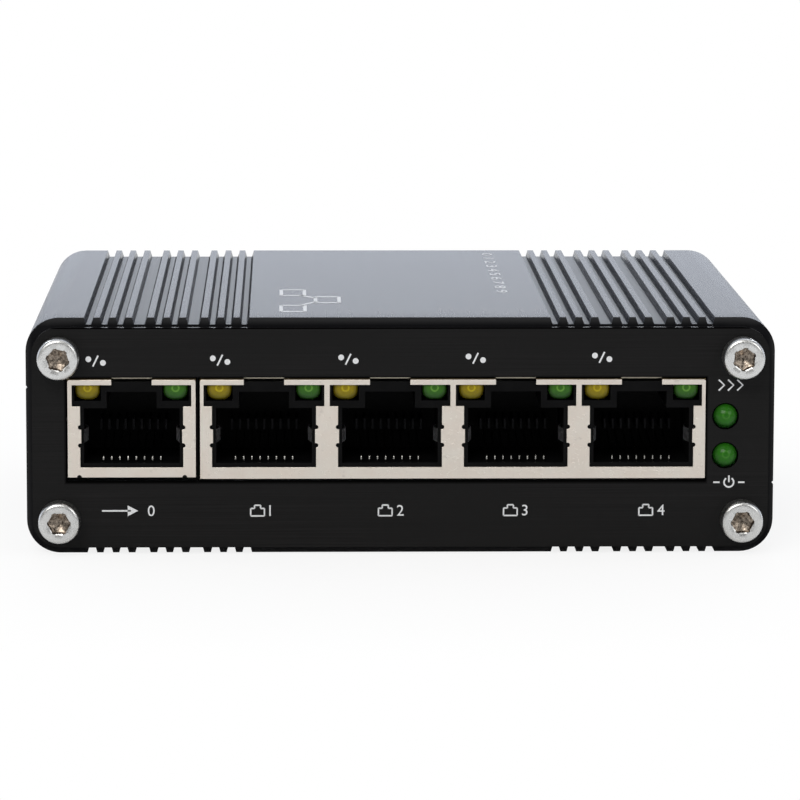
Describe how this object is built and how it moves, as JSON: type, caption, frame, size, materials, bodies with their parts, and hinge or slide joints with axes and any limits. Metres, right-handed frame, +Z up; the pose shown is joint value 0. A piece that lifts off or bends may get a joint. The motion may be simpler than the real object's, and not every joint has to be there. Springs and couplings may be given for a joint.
{
  "type": "din rail ethernet switch",
  "caption": "Flat ribbed black aluminium case with a row of shielded network jacks and status lamps on its front, and a rail clip and power socket on its back.",
  "frame": {"origin": "middle of the underside of the case, between the end plates", "axes": "+X to the right of the front, +Y from the front to the back, +Z up from the face it stands on"},
  "size_m": [0.0932, 0.0882, 0.0295],
  "materials": {
    "anodised_case": "black anodised, satin",
    "anodised_plate": "black anodised, brushed",
    "screw_steel": "satin",
    "shield_nickel": "bright nickel plate",
    "insulator_black": "moulded",
    "contact_gold": "gold flash",
    "led_yellow": "translucent",
    "led_green": "translucent",
    "lamp_green": "translucent",
    "board_green": "solder mask",
    "chip_black": "moulded",
    "tinned_metal": "tinned",
    "capacitor_can": "sleeved can",
    "ferrite": "matt",
    "fuse_white": "matt",
    "header_green": "moulded",
    "spring_steel": "zinc plated"
  },
  "bodies": {
    "root": {"upper_shell": "anodised_case", "lower_shell": "anodised_case", "front_plate": "anodised_plate", "rear_plate": "anodised_plate", "front_plate_screws": "screw_steel", "rear_plate_screws": "screw_steel", "circuit_board": "board_green", "uplink_magnetics": "chip_black", "port_magnetics_left": "chip_black", "port_magnetics_right": "chip_black", "switch_chip": "chip_black", "switch_chip_leads": "tinned_metal", "input_fuse": "fuse_white", "surge_diode": "chip_black", "bulk_capacitor": "capacitor_can", "output_capacitor": "capacitor_can", "power_inductor": "ferrite", "regulator_chip": "chip_black", "crystal": "tinned_metal", "config_memory": "chip_black", "uplink_shield": "shield_nickel", "ports_shield": "shield_nickel", "uplink_housing": "insulator_black", "ports_housing": "insulator_black", "speed_led": "lamp_green", "power_led": "lamp_green", "status_led_holder": "insulator_black", "status_led_leads": "tinned_metal", "power_header": "header_green", "power_pins": "tinned_metal", "din_clip": "spring_steel", "din_clip_screws": "screw_steel", "uplink_contacts": "contact_gold", "uplink_yellow_led": "led_yellow", "uplink_green_led": "led_green", "port_1_contacts": "contact_gold", "port_1_yellow_led": "led_yellow", "port_1_green_led": "led_green", "port_2_contacts": "contact_gold", "port_2_yellow_led": "led_yellow", "port_2_green_led": "led_green", "port_3_contacts": "contact_gold", "port_3_yellow_led": "led_yellow", "port_3_green_led": "led_green", "port_4_contacts": "contact_gold", "port_4_yellow_led": "led_yellow", "port_4_green_led": "led_green"}
  },
  "joints": []
}
